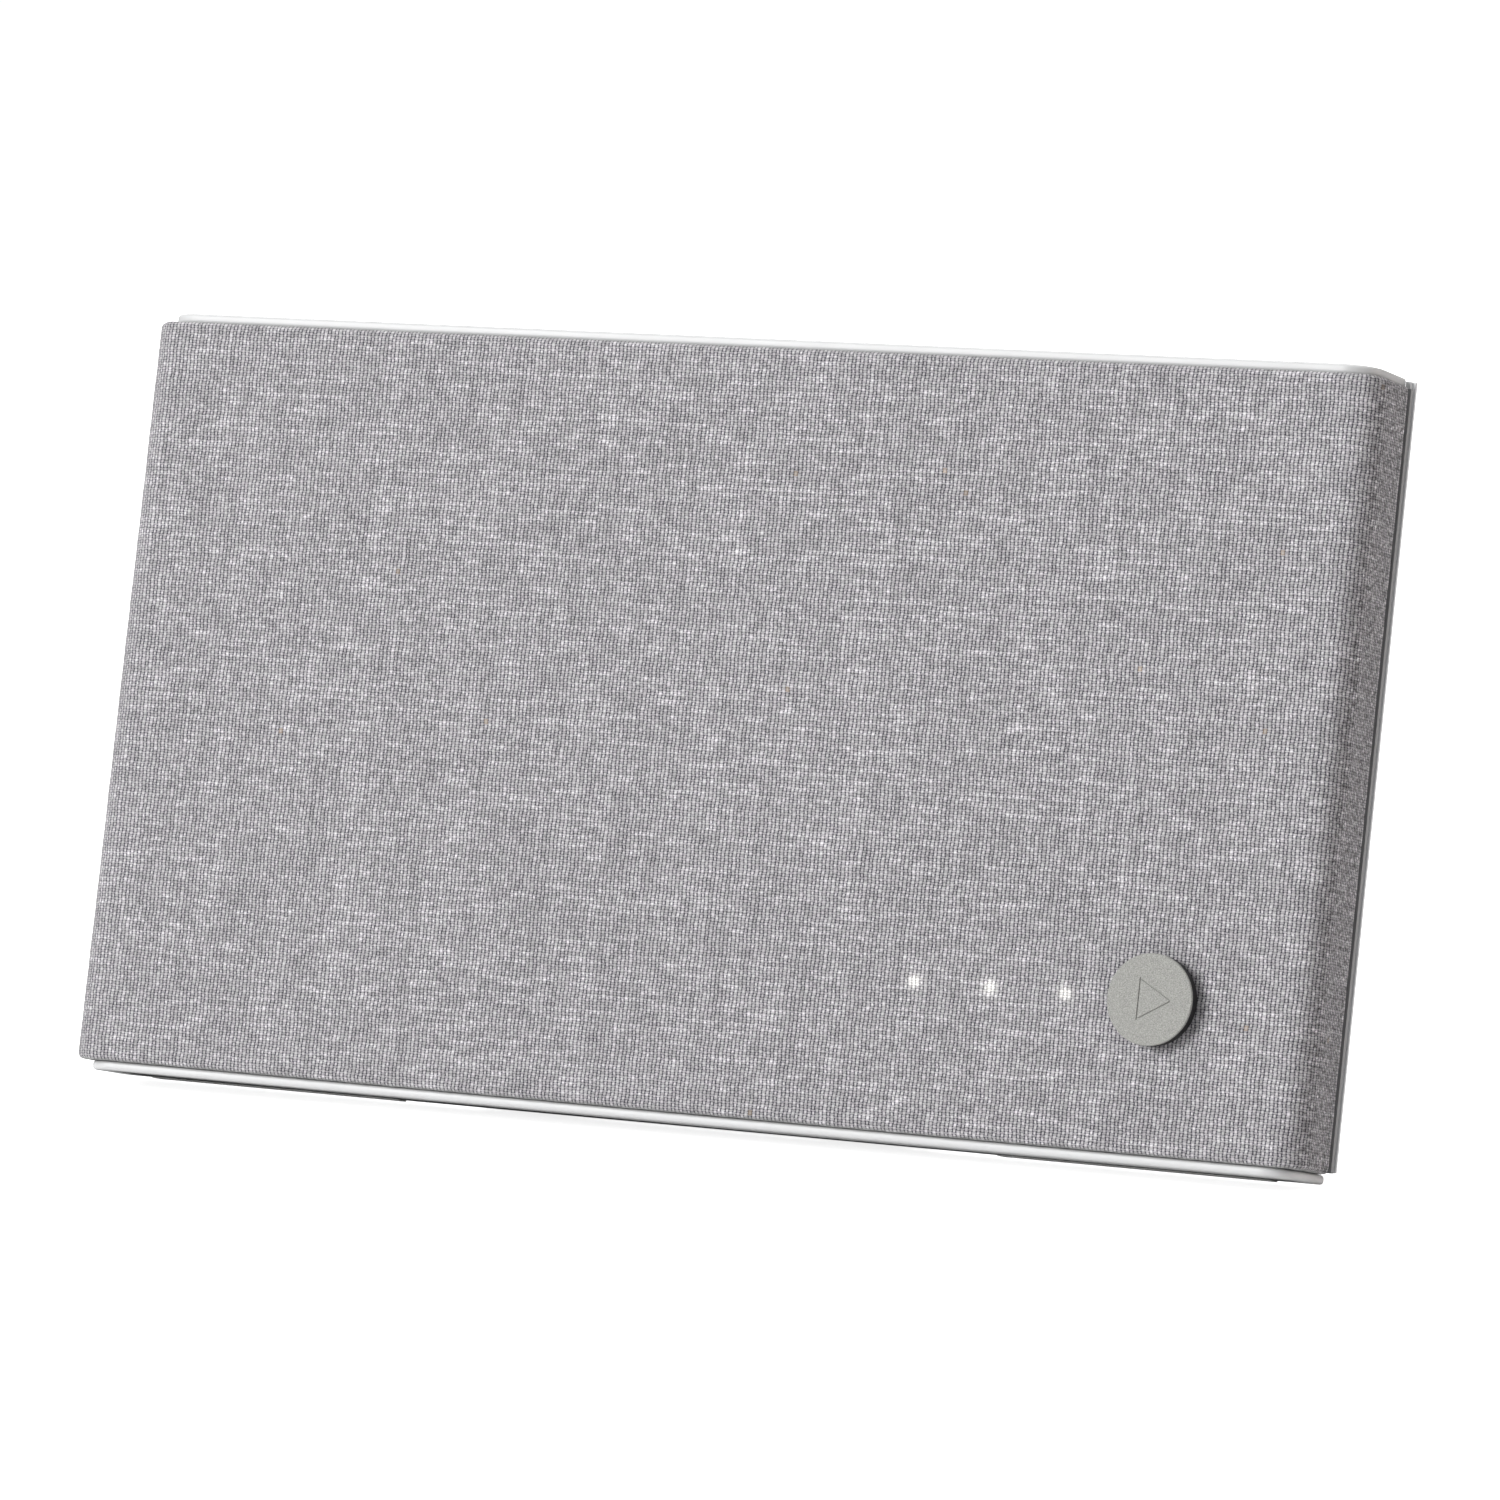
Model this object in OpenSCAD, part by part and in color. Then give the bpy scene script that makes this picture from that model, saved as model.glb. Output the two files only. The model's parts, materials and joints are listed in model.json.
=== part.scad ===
// Slim cloth-fronted smart speaker that leans back on a fold-out foot.
// Every sub-part is drawn upright in the slab's own directions: X to the right, Y from the
// cloth's front towards the back, Z up from the cloth's lower edge. leaning() then tips the
// slab back and stands it on Z = 0, centred on X and Y.

/* [Slab] */
// Width across the cloth
body_w = 306; // [302:1:316]
// Height of the cloth
body_h = 171; // [170:0.2:178]
// Depth from the cloth's front to the rear cover's outer face
body_d = 22.4; // [22.4:0.1:24]
// Radius of the cloth's two front vertical corners
corner_r = 6.8; // [6:0.1:8]
// Lean back from upright, in degrees
lean = 13.72; // [11:0.01:16]

/* [Cloth and grille] */
// Depth of the cloth down the sides
cloth_d = 17.6; // [17:0.1:17.8]
// Thickness of the cloth
cloth_t = 0.8; // [0.6:0.1:0.9]
// Width of the hem that the cloth folds over the grille's top and bottom edges
hem_w = 6; // [4:0.5:7]
// Wall of the grille frame
grille_t = 1.5; // [1.2:0.1:1.6]

/* [Caps] */
// How far the caps stand inside the cloth's outline
cap_inset = 2.4; // [2:0.1:3]
// Thickness of the top cap
top_cap_t = 2.2; // [1.2:0.1:2.4]
// Thickness of the bottom cap
bottom_cap_t = 2.2; // [2:0.1:3]

/* [Knob] */
// Radius of the knob
knob_r = 10; // [9:0.5:11]
// How far the knob's face stands in front of the cloth
knob_proud = 3.8; // [3.4:0.1:5]
// Knob centre to the right of the middle
knob_x = 116.5; // [114:0.5:118]
// Height of the knob and the lamps
knob_z = 33.1; // [31:0.1:35]
// Travel of the knob when pressed
knob_push = 0.5; // [0.3:0.05:0.55]
// Distance between neighbouring lamps
lamp_pitch = 18.1; // [16:0.1:19]
// Distance from the knob to the nearest lamp
lamp_gap = 21.5; // [20:0.1:23]

/* [Sound] */
// Distance of the woofers and tweeters from the middle
driver_x = 98; // [96:1:100]
// Height of the woofers
woofer_z = 100; // [99:1:101]
// Height of the tweeters
tweeter_z = 151.5; // [151:0.5:153]
// Height of the passive radiator
radiator_z = 112; // [111:1:113]

/* [Foot] */
// Half width of the pocket that the foot folds into
pocket_hw = 57; // [52:1:58]
// Length of the foot from its hinge
foot_len = 66; // [60:1:68]
// Thickness of the foot
foot_t = 2.6; // [2:0.1:2.8]
// Height of the hinge above the cloth's lower edge
hinge_z = 3; // [2.8:0.1:3.4]

/* [Hidden] */
$fn = 96;

// Clearances
skin_gap = 0.05;        // between pieces that rest on each other
slip = 0.3;             // between a moving piece and its neighbour
cut = 1;                // how far a cutting shape runs past the face that it cuts

// Slab layers, as depths from the cloth's front
half_w = body_w / 2;
frame_in = cloth_t + skin_gap;
frame_back = frame_in + grille_t;
baffle_y = 5;
baffle_t = 2.4;
baffle_back = baffle_y + baffle_t;
shell_back = 20.1;
flange_y = 18.9;
cover_y = 20.5;
rim_y = 21.3;           // front of the cover's outer rim, which stands out over a groove
rim_in = 0.9;           // depth of that groove
wall_t = 2.4;
shell_hw = half_w - frame_back - 0.35;
flange_hw = half_w - 0.05;
side_hem = shell_hw + 0.15;        // the cloth's side hems stop short of the enclosure
side_flange = half_w - frame_back;
cap_back = 21.7;
cap_r = 7.5;            // rounding of the caps' front corners
cover_z0 = 0.6;
cover_top = body_h + 1.4;

// Base strips carry the slab along their lower back edge
strip_proud = 0.3;
strip_y = [17, 21];
strip_x = [75, 140];
lift = strip_y[1] * sin(lean) + (bottom_cap_t + strip_proud) * cos(lean);

// The hinge lies where the folded foot ends flush with the cover and the open foot is level
hinge_y = (body_d - lift - hinge_z * cos(lean)) / (1 - sin(lean));
hinge_drop = body_d - hinge_y;
hinge_row_y = hinge_y * cos(lean) + hinge_z * sin(lean);
shift_y = -(hinge_row_y + foot_len) / 2;

// Foot
pad_t = 1;
pad_proud = 0.5;
pin_r = 1;
knuckle_r = 2.3;
arm_x = [30, 50];
foot_hw = pocket_hw - 0.7;
foot_front = 5.8;
pocket_wall = 3;
pocket_floor_t = 1.2;
pocket_y = hinge_y + hinge_drop - pad_proud - foot_t - 0.4;
pocket_top = hinge_z + foot_len + 4.4;
well_y = hinge_y - knuckle_r - 0.5;
well_top = 12.6;

// Fasteners
screw_r = 1.5;
screw_spots = [for (x = [-144, -66, 66, 144], z = [9, body_h - 8.4]) [x, z]];
peg_spots = [for (s = [-1, 1], p = [[140, 16], [140, 157], [58, 157], [56, 69]]) [s * p[0], p[1]]];
cap_peg_x = [-125, -70, 70, 125];
cap_peg_y = 13;

// Electronics
encoder_y = 9;
control_y = 14.1;
board_t = 1.5;
main_y = 12.2;
port_x = -76;
port_y = 10;
usb_z = 16;
aux_z = 29;
button_z = 45;
button_r = 4.7;
button_push = 0.4;
lamp_x = [for (i = [0:2]) knob_x - lamp_gap - i * lamp_pitch];
control_holes = [for (x = [54, 130], z = [20.5, 45.5]) [x, z]];
main_holes = [for (x = [-40, 40], z = [20, 54]) [x, z]];
port_holes = [for (x = [-84, -68]) [x, 54]];

// ---- placing and shared shapes ----

module leaning() translate([0, shift_y, lift]) rotate([-lean, 0, 0]) children();

// A round rod along the slab's depth, from y0 to y1
module rod(x, z, r, y0, y1) translate([x, y0, z]) rotate([-90, 0, 0]) cylinder(r = r, h = y1 - y0);

// A block between two corners
module block(a, b) translate(a) cube([b[0] - a[0], b[1] - a[1], b[2] - a[2]]);

// A profile of [radius, depth] points, turned round an axis along the slab's depth
module turned(x, z, points) translate([x, 0, z]) rotate([-90, 0, 0]) rotate_extrude() polygon(points);

// The slab's plan with two round front corners, set in by inset, from its front to back
module plan(inset, back) {
    r = corner_r - inset;
    hw = half_w - inset;
    translate([-hw, corner_r]) square([2 * hw, back - corner_r]);
    translate([-hw + r, inset]) square([2 * (hw - r), back - inset]);
    for (s = [-1, 1]) translate([s * (hw - r), corner_r]) circle(r);
}

module upright(z0, z1) translate([0, 0, z0]) linear_extrude(z1 - z0) children();

// A racetrack-shaped plate round the radiator's centre, half width hw and half height r
module track(hw, r, y0, y1) {
    for (s = [-1, 1]) rod(s * (hw - r), radiator_z, r, y0, y1);
    block([r - hw, y0, radiator_z - r], [hw - r, y1, radiator_z + r]);
}

// The direction across a path of points at point i
function across(points, i) =
    let (d = points[min(i + 1, len(points) - 1)] - points[max(i - 1, 0)]) [-d[1], d[0]] / norm(d);

// A flat lead, width w, along a list of [x, z] points, between depths y0 and y1
module lead(points, w, y0, y1) {
    last = len(points) - 1;
    translate([0, y1, 0]) rotate([90, 0, 0]) linear_extrude(y1 - y0) polygon(concat(
        [for (i = [0:last]) points[i] + across(points, i) * w / 2],
        [for (i = [last:-1:0]) points[i] - across(points, i) * w / 2]
    ));
}

// A pan-head screw whose head's underside is at depth y, pointing to the front
module screw(x, z, y, length, r, head_r, head_t) {
    difference() {
        union() {
            rod(x, z, r, y - length, y);
            rod(x, z, head_r, y, y + head_t);
        }
        translate([x, y + head_t / 2, z]) rotate([-90, 0, 0])
            cylinder(r = head_r * 0.45, h = head_t, $fn = 6);
    }
}

// ---- cloth, grille and caps ----

module grille_cloth() {
    color([0.66, 0.65, 0.67]) leaning() difference() {
        upright(0, body_h) plan(0, cloth_d);
        upright(cloth_t, body_h - cloth_t) plan(cloth_t, cloth_d + cut);
        block([-side_hem, hem_w, -cut], [side_hem, cloth_d + cut, body_h + cut]);
        rod(knob_x, knob_z, 5.6, -cut, frame_in);
    }
}

module grille_bars(x, z, r) {
    intersection() {
        rod(x, z, r, frame_in, frame_back);
        for (h = [-r + 6 : 8 : r]) block([x - r, frame_in, z + h], [x + r, frame_back, z + h + 2]);
    }
}

module grille_frame() {
    color([0.16, 0.16, 0.17]) leaning() {
        difference() {
            upright(frame_in, body_h - frame_in) plan(frame_in, cloth_d - 0.4);
            upright(frame_in + 1.2, body_h - frame_in - 1.2) plan(frame_back, cloth_d + cut);
            block([-side_flange, hem_w + 1, -cut], [side_flange, cloth_d + cut, body_h + cut]);
            for (s = [-1, 1]) {
                rod(s * driver_x, woofer_z, 30, -cut, frame_back + cut);
                rod(s * driver_x, tweeter_z, 8, -cut, frame_back + cut);
                rod(s * 9, body_h - 7.5, 0.8, -cut, frame_back + cut);
            }
            track(50, 28, -cut, frame_back + cut);
            for (x = lamp_x) rod(x, knob_z, 1.4, -cut, frame_back + cut);
            rod(knob_x, knob_z, 6.2, -cut, frame_back + cut);
        }
        for (s = [-1, 1]) {
            grille_bars(s * driver_x, woofer_z, 30.2);
            grille_bars(s * driver_x, tweeter_z, 8.2);
        }
        intersection() {
            track(50.2, 28.2, frame_in, frame_back);
            for (h = [-22 : 8 : 24]) block([-51, 0, radiator_z + h], [51, baffle_y, radiator_z + h + 2]);
        }
        for (p = peg_spots) rod(p[0], p[1], 1.6, frame_back - 0.2, baffle_back - 0.4);
    }
}

module grille_grommets() {
    color([0.1, 0.1, 0.1]) leaning() for (p = peg_spots) difference() {
        rod(p[0], p[1], 2.9, baffle_y - 0.4, baffle_back);
        rod(p[0], p[1], 1.65, 0, baffle_back + cut);
    }
}

// Outline of both caps: the slab's plan set in, cut off short of the rear cover's face
module cap_plan() {
    hw = half_w - cap_inset;
    translate([-hw, cap_inset + cap_r]) square([2 * hw, cap_back - cap_inset - cap_r]);
    translate([-hw + cap_r, cap_inset]) square([2 * (hw - cap_r), cap_back - cap_inset]);
    for (s = [-1, 1]) translate([s * (hw - cap_r), cap_inset + cap_r]) circle(cap_r);
}

module cap_pegs(z0, z1) for (x = cap_peg_x) translate([x, cap_peg_y, z0]) cylinder(r = 1.4, h = z1 - z0);

module top_cap() {
    color([0.96, 0.96, 0.96]) leaning() {
        upright(body_h + skin_gap, body_h + top_cap_t) cap_plan();
        cap_pegs(body_h - 2.2, body_h + 0.2);
    }
}

module bottom_cap() {
    color([0.96, 0.96, 0.96]) leaning() {
        difference() {
            upright(-bottom_cap_t, -skin_gap) cap_plan();
            for (s = [-1, 1]) strip(s, 0.05);
        }
        cap_pegs(-0.2, 2.2);
    }
}

module strip(side, grow) {
    xs = side > 0 ? strip_x : [-strip_x[1], -strip_x[0]];
    block([xs[0] - grow, strip_y[0] - grow, -bottom_cap_t - strip_proud],
          [xs[1] + grow, strip_y[1] + grow, -bottom_cap_t + 0.8 + grow]);
}

module base_strips() color([0.86, 0.86, 0.86]) leaning() for (s = [-1, 1]) strip(s, 0);

// ---- enclosure and rear cover ----

module shell_plan(hw, y0, r) {
    translate([-hw, y0 + r]) square([2 * hw, shell_back - y0 - r]);
    translate([-hw + r, y0]) square([2 * (hw - r), shell_back - y0]);
    for (s = [-1, 1]) translate([s * (hw - r), y0 + r]) circle(r);
}

module enclosure() {
    baffle_edge = frame_in + 1.4;
    color([0.55, 0.56, 0.57]) leaning() difference() {
        union() {
            difference() {
                union() {
                    upright(baffle_edge, body_h - baffle_edge) shell_plan(shell_hw, baffle_y, 3);
                    block([-shell_hw, hem_w + 1.4, 0], [shell_hw, shell_back, body_h]);
                    block([-flange_hw, flange_y, 0.4], [flange_hw, shell_back, body_h - 0.4]);
                }
                block([wall_t - shell_hw, baffle_back, 3.2],
                      [shell_hw - wall_t, shell_back + cut, body_h - 3.2]);
            }
            for (p = screw_spots) rod(p[0], p[1], 4, baffle_back - 0.5, shell_back);
            for (p = control_holes) rod(p[0], p[1], 3, baffle_back - 0.5, control_y);
            for (p = main_holes) rod(p[0], p[1], 3, baffle_back - 0.5, main_y);
            for (p = port_holes) rod(p[0], p[1], 3, baffle_back - 0.5, port_y);
        }
        for (p = screw_spots) rod(p[0], p[1], screw_r + 0.03, 12, shell_back + cut);
        for (p = concat(control_holes, main_holes, port_holes))
            rod(p[0], p[1], 1.03, baffle_back, shell_back);
        for (p = peg_spots) rod(p[0], p[1], 2.95, 0, baffle_back + cut);
        for (s = [-1, 1]) {
            rod(s * driver_x, woofer_z, 32, 0, baffle_back + cut);
            rod(s * driver_x, tweeter_z, 8.8, 0, baffle_back + cut);
            for (a = [45 : 90 : 315])
                rod(s * driver_x + 34 * cos(a), woofer_z + 34 * sin(a), 0.83, 0, baffle_back + cut);
        }
        track(54.2, 32.2, 0, baffle_back + cut);
        for (x = lamp_x) rod(x, knob_z, 1.4, 0, baffle_back + cut);
        rod(knob_x, knob_z, 4.45, 0, baffle_back + cut);
        for (s = [-1, 1]) rod(s * 9, body_h - 7.5, 0.8, 0, baffle_back + cut);
        for (x = cap_peg_x) translate([x, cap_peg_y, -cut]) cylinder(r = 1.45, h = body_h + 2 * cut);
        block([-pocket_hw - pocket_wall - 0.3, well_y - pocket_floor_t - 0.3, -cut],
              [pocket_hw + pocket_wall + 0.3, shell_back + cut, 3.3]);
    }
}

module cover_gasket() {
    gasket_z = 12.8;
    color([0.08, 0.08, 0.08]) leaning() difference() {
        block([2 - shell_hw, shell_back, 2], [shell_hw - 2, cover_y, body_h - 2]);
        block([6.5 - shell_hw, 0, gasket_z], [-pocket_hw - pocket_wall - 1, 30, body_h - 14]);
        block([pocket_hw + pocket_wall + 1, 0, gasket_z], [shell_hw - 6.5, 30, body_h - 14]);
        block([-pocket_hw - pocket_wall - 2, 0, -cut], [pocket_hw + pocket_wall + 2, 30, body_h - 14]);
        for (p = screw_spots) rod(p[0], p[1], screw_r + 0.2, 0, 30);
        rod(port_x, aux_z, 4, 0, 30);
    }
}

module rear_cover() {
    edge_r = 0.45;
    box_hw = pocket_hw + pocket_wall;
    color([0.78, 0.78, 0.79]) leaning() difference() {
        union() {
            translate([0, 0, cover_z0]) linear_extrude(cover_top - cover_z0) {
                translate([rim_in - half_w, cover_y])
                    square([body_w - 2 * rim_in, body_d - cover_y - edge_r]);
                translate([-half_w, rim_y]) square([body_w, body_d - edge_r - rim_y]);
                translate([edge_r - half_w, rim_y]) square([body_w - 2 * edge_r, body_d - rim_y]);
                for (s = [-1, 1]) translate([s * (half_w - edge_r), body_d - edge_r]) circle(edge_r);
            }
            block([-box_hw, pocket_y - pocket_floor_t, well_top], [box_hw, cover_y + 0.1, pocket_top + 2]);
            block([-box_hw, well_y - pocket_floor_t, 0.1], [box_hw, cover_y + 0.1, well_top + 1.4]);
        }
        block([cap_inset - half_w - 0.3, 0, body_h - 0.05], [half_w - cap_inset + 0.3, 30, cover_top + cut]);
        block([-pocket_hw, pocket_y, 1], [pocket_hw, body_d + cut, pocket_top]);
        difference() {
            block([-pocket_hw, well_y, -cut], [pocket_hw, body_d + cut, well_top]);
            block([-4, 0, -cut], [4, hinge_y + 2.4, hinge_z + 2.6]);
        }
        translate([-pocket_hw - pocket_wall + 0.6, hinge_y, hinge_z]) rotate([0, 90, 0])
            cylinder(r = pin_r + 0.02, h = 2 * (pocket_hw + pocket_wall - 0.6));
        for (p = screw_spots) {
            rod(p[0], p[1], screw_r + 0.2, 0, 30);
            rod(p[0], p[1], 3.1, body_d - 1.1, 30);
        }
        for (s = [-1, 1]) rod(port_x + s * 3.1, usb_z, 2.1, 0, 30);
        block([port_x - 3.1, 0, usb_z - 2.1], [port_x + 3.1, 30, usb_z + 2.1]);
        rod(port_x, aux_z, 3.3, 0, 30);
        rod(port_x, button_z, button_r + slip, 0, 30);
    }
}

module cover_screws() {
    color([0.3, 0.3, 0.31]) leaning()
        for (p = screw_spots) screw(p[0], p[1], body_d - 1.1, 7, screw_r, 2.8, 1);
}

// ---- fold-out foot, drawn open on Z = 0 ----

module at_hinge() translate([0, shift_y + hinge_row_y, hinge_drop]) children();

module foot_plate() {
    under = pad_proud - hinge_drop;
    color([0.78, 0.78, 0.79]) at_hinge() difference() {
        union() {
            block([-foot_hw, foot_front, under], [foot_hw, foot_len - 4, under + foot_t]);
            block([4 - foot_hw, foot_front, under], [foot_hw - 4, foot_len, under + foot_t]);
            for (s = [-1, 1]) translate([s * (foot_hw - 4), foot_len - 4, under]) cylinder(r = 4, h = foot_t);
            for (x = [-arm_x[1], arm_x[0]]) {
                translate([x, 0, 0]) rotate([0, 90, 0]) cylinder(r = knuckle_r, h = arm_x[1] - arm_x[0]);
                translate([x, 0, 0]) rotate([90, 0, 90]) linear_extrude(arm_x[1] - arm_x[0])
                    polygon([[0, -knuckle_r], [4.4, -3.4], [foot_front, -4.2], [foot_front, under + 0.5],
                             [9.5, under + 0.5], [9.5, under + foot_t - 0.1], [6.2, 0.6], [0, knuckle_r]]);
            }
        }
        rotate([0, 90, 0]) cylinder(r = pin_r + 0.05, h = body_w, center = true);
        block([8 - foot_hw, 14, -hinge_drop - cut], [foot_hw - 8, foot_len - 12, under + pad_t - pad_proud]);
        translate([0, foot_len + 3, under - cut]) cylinder(r = 9, h = 2 * foot_t + 2);
    }
}

module foot_pad() {
    color([0.2, 0.2, 0.21]) at_hinge()
        block([8.1 - foot_hw, 14.1, -hinge_drop],
              [foot_hw - 8.1, foot_len - 12.1, pad_t - hinge_drop - skin_gap]);
}

module foot_pin() {
    pin_hw = pocket_hw + pocket_wall - 0.8;
    color([0.7, 0.7, 0.72]) leaning() translate([-pin_hw, hinge_y, hinge_z]) rotate([0, 90, 0])
        cylinder(r = pin_r, h = 2 * pin_hw);
}

// ---- woofers: profiles are [radius, depth] from the slab's front ----

module woofer_basket(side) {
    color([0.25, 0.25, 0.26]) leaning() difference() {
        turned(side * driver_x, woofer_z, [
            [30.2, 4], [36, 4], [36, 5], [31.8, 5], [20.4, 14], [20.4, 15.2], [11.6, 15.2], [11.6, 14.2],
            [18.8, 14.2], [18.8, 13.6], [30.2, 4.9]
        ]);
        for (a = [0 : 60 : 300]) translate([side * driver_x, 0, woofer_z]) rotate([0, a, 0])
            block([22, 7.5, -7], [34, 12, 7]);
        for (a = [45 : 90 : 315])
            rod(side * driver_x + 34 * cos(a), woofer_z + 34 * sin(a), 0.95, 0, 6);
    }
}

module woofer_motor(side) {
    color([0.62, 0.62, 0.64]) leaning() {
        turned(side * driver_x, woofer_z, [[10.95, 15.2], [17, 15.2], [17, 16.2], [10.95, 16.2]]);
        turned(side * driver_x, woofer_z, [
            [0, 15.4], [9.7, 15.4], [9.7, 17.6], [17, 17.6], [17, 18.6], [0, 18.6]
        ]);
    }
}

module woofer_magnet(side) {
    color([0.2, 0.2, 0.22]) leaning()
        turned(side * driver_x, woofer_z, [[12.5, 16.2], [16.6, 16.2], [16.6, 17.6], [12.5, 17.6]]);
}

module woofer_cone(side) {
    color([0.12, 0.12, 0.12]) leaning() turned(side * driver_x, woofer_z, [
        [0, 6.6], [5, 7.1], [10.1, 8.9], [27.4, 4.4], [27.4, 5], [10.6, 9.8], [10.6, 16], [10.1, 16],
        [10.1, 9.5], [5, 7.7], [0, 7.2]
    ]);
}

module woofer_surround(side) {
    color([0.07, 0.07, 0.07]) leaning() translate([side * driver_x, 0, woofer_z]) rotate([-90, 0, 0])
        rotate_extrude() {
            difference() {
                translate([28.8, 4.2]) circle(1.4);
                translate([28.8, 4.2]) circle(0.9);
                translate([25, 4.2]) square([8, 4]);
            }
            translate([26.2, 3.8]) square([1.3, 0.4]);
            translate([30.1, 3.5]) square([2.1, 0.45]);
        }
}

module woofer_spider(side) {
    color([0.72, 0.6, 0.4]) leaning() turned(side * driver_x, woofer_z, [
        [10.75, 12.4], [12, 12.4], [13, 13.2], [14.4, 12.5], [15.8, 13.3], [17, 13.6], [18.5, 13.6],
        [18.5, 14.1], [16.8, 14.1], [15.8, 13.8], [14.4, 13], [13, 13.7], [12, 12.9], [10.75, 12.9]
    ]);
}

module tweeter_body(side) {
    color([0.15, 0.15, 0.16]) leaning() turned(side * driver_x, tweeter_z, [
        [7, 4], [11, 4], [11, 5], [8.6, 5], [8.6, 12], [0, 12], [0, 8.5], [6.4, 8.5], [6.4, 5]
    ]);
}

module tweeter_dome(side) {
    color([0.75, 0.7, 0.55]) leaning() turned(side * driver_x, tweeter_z, [
        [0, 4.2], [2.5, 4.5], [4.8, 5.4], [6.3, 6.6], [6.3, 8.4], [5.9, 8.4], [5.9, 6.9], [4.5, 5.8],
        [2.5, 4.9], [0, 4.6]
    ]);
}

// ---- passive radiator ----

module radiator_frame() {
    color([0.2, 0.2, 0.21]) leaning() difference() {
        track(58, 36, 4, baffle_y);
        track(53, 31, 0, 30);
    }
}

module radiator_plate() color([0.3, 0.3, 0.32]) leaning() track(47.6, 25.6, 4.9, 6.1);

module radiator_surround() {
    color([0.07, 0.07, 0.07]) leaning() {
        difference() {
            track(54, 32, 5.05, 5.55);
            track(47.9, 25.9, 0, 30);
        }
        difference() {
            track(52.4, 30.4, 4.1, 5.1);
            track(49.6, 27.6, 0, 30);
        }
    }
}

// ---- knob and encoder ----

cap_t = 0.5;            // thickness of the knob's face disc

// Generic play-arrow outline, cut into the knob's face
module play_mark(r, line) {
    difference() {
        polygon([for (a = [0, 120, 240]) [r * cos(a), r * sin(a)]]);
        polygon([for (a = [0, 120, 240]) [(r - 2 * line) * cos(a), (r - 2 * line) * sin(a)]]);
    }
}

module knob_cap() {
    face = -knob_proud;
    color([0.55, 0.545, 0.535]) leaning() difference() {
        turned(knob_x, knob_z, [
            [0, face], [knob_r - 0.2, face], [knob_r, face + 0.2], [knob_r, face + cap_t], [0, face + cap_t]
        ]);
        translate([knob_x, face - cut, knob_z]) rotate([-90, 0, 0])
            linear_extrude(cut + 0.25) play_mark(5.4, 0.3);
    }
}

module knob_body() {
    color([0.04, 0.04, 0.04]) leaning() difference() {
        union() {
            rod(knob_x, knob_z, knob_r - 0.12, skin_gap + cap_t - knob_proud, -knob_push - 0.2);
            rod(knob_x, knob_z, 4.2, -1, 1.8);
        }
        rod(knob_x, knob_z, 3.02, -knob_proud + 1.6, 5);
    }
}

module knob_shaft() color([0.72, 0.72, 0.74]) leaning() rod(knob_x, knob_z, 3, -knob_proud + 1.7, 11.2);

module knob_bushing() {
    color([0.75, 0.62, 0.3]) leaning() difference() {
        union() {
            rod(knob_x, knob_z, 4.4, 2.9, encoder_y);
            translate([knob_x, 3.6, knob_z]) rotate([-90, 0, 0]) cylinder(r = 6.4, h = 1.35, $fn = 6);
        }
        rod(knob_x, knob_z, 3.05, 0, encoder_y + cut);
    }
}

module encoder_body() {
    color([0.1, 0.3, 0.15]) leaning() difference() {
        block([knob_x - 6.2, encoder_y, knob_z - 6.2], [knob_x + 6.2, control_y - skin_gap, knob_z + 6.2]);
        rod(knob_x, knob_z, 3.6, 0, 13.3);
    }
}

module encoder_plunger() color([0.9, 0.9, 0.88]) leaning() rod(knob_x, knob_z, 3.2, 11.5, 12.4);

module board(x0, x1, z0, z1, y, holes) {
    difference() {
        block([x0, y, z0], [x1, y + board_t, z1]);
        for (p = holes) rod(p[0], p[1], 1.2, 0, 30);
    }
}

module control_board() color([0.05, 0.3, 0.18]) leaning() board(50, 134, 17, 49, control_y, control_holes);

module lamps() {
    color([1, 1, 0.95]) leaning()
        for (x = lamp_x)
            block([x - 1.6, control_y - 1.1, knob_z - 0.8], [x + 1.6, control_y - skin_gap, knob_z + 0.8]);
}

module light_pipes() {
    color([0.9, 0.95, 1]) leaning() for (x = lamp_x) {
        rod(x, knob_z, 1.3, frame_in + 0.05, control_y - 1.3);
        rod(x, knob_z, 2.3, baffle_back + 0.1, baffle_back + 1.3);
    }
}

// ---- boards, battery and ports ----

module main_board() color([0.05, 0.3, 0.18]) leaning() board(-44, 44, 16, 58, main_y, main_holes);

module board_chips() {
    chips = [[-12, 30, 16, 16], [14, 30, 12, 10], [-32, 30, 9, 12], [2, 50, 8, 5], [28, 44, 10, 8]];
    color([0.08, 0.08, 0.09]) leaning()
        for (c = chips)
            block([c[0] - c[2] / 2, main_y - 1.8, c[1] - c[3] / 2],
                  [c[0] + c[2] / 2, main_y - skin_gap, c[1] + c[3] / 2]);
}

module heat_spreader() {
    color([0.75, 0.76, 0.78]) leaning() {
        block([-36, 8.6, 22], [22, main_y - 1.85, 38]);
        for (x = [-34 : 4 : 20]) block([x, 7.6, 22], [x + 1.2, 8.7, 38]);
    }
}

module wifi_antenna() {
    color([0.75, 0.55, 0.2]) leaning() {
        block([-34, main_y, 60], [-4, main_y + 0.8, 67]);
        block([-32, main_y - 0.4, 62], [-6, main_y + 0.1, 63]);
        block([-32, main_y - 0.4, 64.5], [-10, main_y + 0.1, 65.5]);
    }
}

module mic_board() {
    color([0.05, 0.3, 0.18]) leaning() {
        block([-16, 9, body_h - 11.5], [16, 10, body_h - 3.6]);
        for (s = [-1, 1]) block([s * 9 - 1.8, 10, body_h - 9], [s * 9 + 1.8, 11.1, body_h - 6]);
    }
}

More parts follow.
